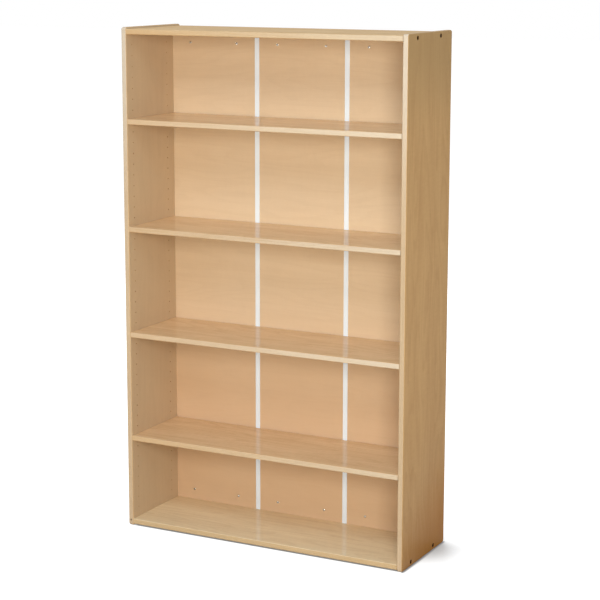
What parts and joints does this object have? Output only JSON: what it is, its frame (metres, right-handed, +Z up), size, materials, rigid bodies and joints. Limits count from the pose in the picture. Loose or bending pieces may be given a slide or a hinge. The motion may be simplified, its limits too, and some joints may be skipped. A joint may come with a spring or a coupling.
{
  "type": "bookcase",
  "caption": "Tall open birch plywood bookcase with adjustable sliding shelves and a recessed back of thin panels joined by white strips.",
  "frame": {"origin": "middle of the bookcase's footprint, on the floor", "axes": "-Y is the open front, +X is to the right for someone who looks at the front, +Z is up"},
  "size_m": [0.9144, 0.3048, 1.5113],
  "materials": {
    "side_board": "birch plywood, clear semi-gloss lacquer, upright grain",
    "shelf_board": "birch plywood, clear semi-gloss lacquer, grain along the shelf",
    "back_board": "thin birch plywood, clear lacquer, grain across the panel",
    "rail_board": "birch plywood, clear lacquer",
    "strip_plastic": "white extruded plastic, satin",
    "case_screw_black": "black oxide on steel",
    "back_screw_zinc": "bright zinc plating",
    "wire_steel": "plain spring-steel wire",
    "dowel_beech": "raw beech"
  },
  "bodies": {
    "case": {"left_side": "side_board", "right_side": "side_board", "top_panel": "shelf_board", "bottom_panel": "shelf_board", "back_panel_left": "back_board", "back_panel_centre": "back_board", "back_panel_right": "back_board", "back_strip_left": "strip_plastic", "back_strip_right": "strip_plastic", "back_rail_upper": "rail_board", "back_rail_lower": "rail_board", "rail_dowels_upper": "dowel_beech", "rail_dowels_lower": "dowel_beech", "back_screws_upper": "back_screw_zinc", "back_screws_lower": "back_screw_zinc", "case_screws_top_left": "case_screw_black", "case_screws_top_right": "case_screw_black", "case_screws_bottom_left": "case_screw_black", "case_screws_bottom_right": "case_screw_black", "shelf_1_wires": "wire_steel", "shelf_2_wires": "wire_steel", "shelf_3_wires": "wire_steel", "shelf_4_wires": "wire_steel"},
    "shelf_1": {"shelf_1": "shelf_board"},
    "shelf_2": {"shelf_2": "shelf_board"},
    "shelf_3": {"shelf_3": "shelf_board"},
    "shelf_4": {"shelf_4": "shelf_board"}
  },
  "joints": [
    {"name": "shelf_1_slide", "type": "slide", "parent": "case", "child": "shelf_1", "axis": [0, -1, 0], "range_m": [0, 0.225]},
    {"name": "shelf_2_slide", "type": "slide", "parent": "case", "child": "shelf_2", "axis": [0, -1, 0], "range_m": [0, 0.225]},
    {"name": "shelf_3_slide", "type": "slide", "parent": "case", "child": "shelf_3", "axis": [0, -1, 0], "range_m": [0, 0.225]},
    {"name": "shelf_4_slide", "type": "slide", "parent": "case", "child": "shelf_4", "axis": [0, -1, 0], "range_m": [0, 0.225]}
  ]
}
